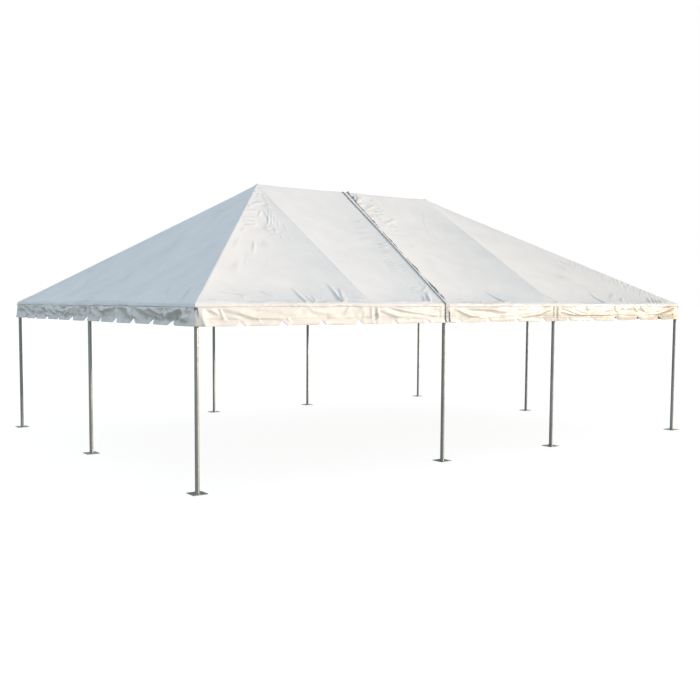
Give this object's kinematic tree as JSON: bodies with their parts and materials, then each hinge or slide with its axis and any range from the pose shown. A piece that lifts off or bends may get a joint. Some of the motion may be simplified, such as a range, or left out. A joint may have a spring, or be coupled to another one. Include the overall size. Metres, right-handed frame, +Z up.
{
  "type": "hip-roof frame tent",
  "caption": "White hip-roof frame tent: galvanised tube legs on square base plates, socket fittings, rafters and ridge, under a paneled vinyl cover with a tabbed valance.",
  "frame": {"origin": "on the ground under the middle of the tent", "axes": "+X along the long sides, to the right as seen from the front; +Y from the front to the back; +Z up"},
  "size_m": [9.078, 6.478, 3.9189],
  "materials": {
    "leg_steel": "galvanised tube, dull grey with a soft sheen",
    "frame_tube_steel": "galvanised tube, dull grey with a soft sheen",
    "fitting_steel": "hot-dip galvanised welded sockets, matt",
    "roof_vinyl": "white PVC-coated polyester, slightly glossy, stretched and lightly wrinkled",
    "valance_vinyl": "white PVC-coated polyester, a little creamier, hanging in soft folds"
  },
  "bodies": {
    "root": {"corner_fitting_back_left": "fitting_steel", "corner_fitting_back_right": "fitting_steel", "corner_fitting_front_left": "fitting_steel", "corner_fitting_front_right": "fitting_steel", "crown_left": "fitting_steel", "crown_right": "fitting_steel", "eave_rail_back": "frame_tube_steel", "eave_rail_front": "frame_tube_steel", "eave_rail_left": "frame_tube_steel", "eave_rail_right": "frame_tube_steel", "end_rafter_left": "frame_tube_steel", "end_rafter_right": "frame_tube_steel", "hip_rafter_back_left": "frame_tube_steel", "hip_rafter_back_right": "frame_tube_steel", "hip_rafter_front_left": "frame_tube_steel", "hip_rafter_front_right": "frame_tube_steel", "leg_back_left_corner": "leg_steel", "leg_back_middle": "leg_steel", "leg_back_right": "leg_steel", "leg_back_right_corner": "leg_steel", "leg_front_left_corner": "leg_steel", "leg_front_middle": "leg_steel", "leg_front_right": "leg_steel", "leg_front_right_corner": "leg_steel", "leg_left_end": "leg_steel", "leg_right_end": "leg_steel", "rafter_back_left": "frame_tube_steel", "rafter_back_middle": "frame_tube_steel", "rafter_back_right": "frame_tube_steel", "rafter_clamp_back": "fitting_steel", "rafter_clamp_front": "fitting_steel", "rafter_front_left": "frame_tube_steel", "rafter_front_middle": "frame_tube_steel", "rafter_front_right": "frame_tube_steel", "ridge_tee": "fitting_steel", "ridge_tube": "frame_tube_steel", "roof_back_left": "roof_vinyl", "roof_back_right": "roof_vinyl", "roof_end_left": "roof_vinyl", "roof_end_right": "roof_vinyl", "roof_front_left": "roof_vinyl", "roof_front_right": "roof_vinyl", "tee_fitting_back_middle": "fitting_steel", "tee_fitting_back_right": "fitting_steel", "tee_fitting_front_middle": "fitting_steel", "tee_fitting_front_right": "fitting_steel", "tee_fitting_left_end": "fitting_steel", "tee_fitting_right_end": "fitting_steel", "valance_back_left": "valance_vinyl", "valance_back_right": "valance_vinyl", "valance_end_left": "valance_vinyl", "valance_end_right": "valance_vinyl", "valance_front_left": "valance_vinyl", "valance_front_right": "valance_vinyl"}
  },
  "joints": []
}
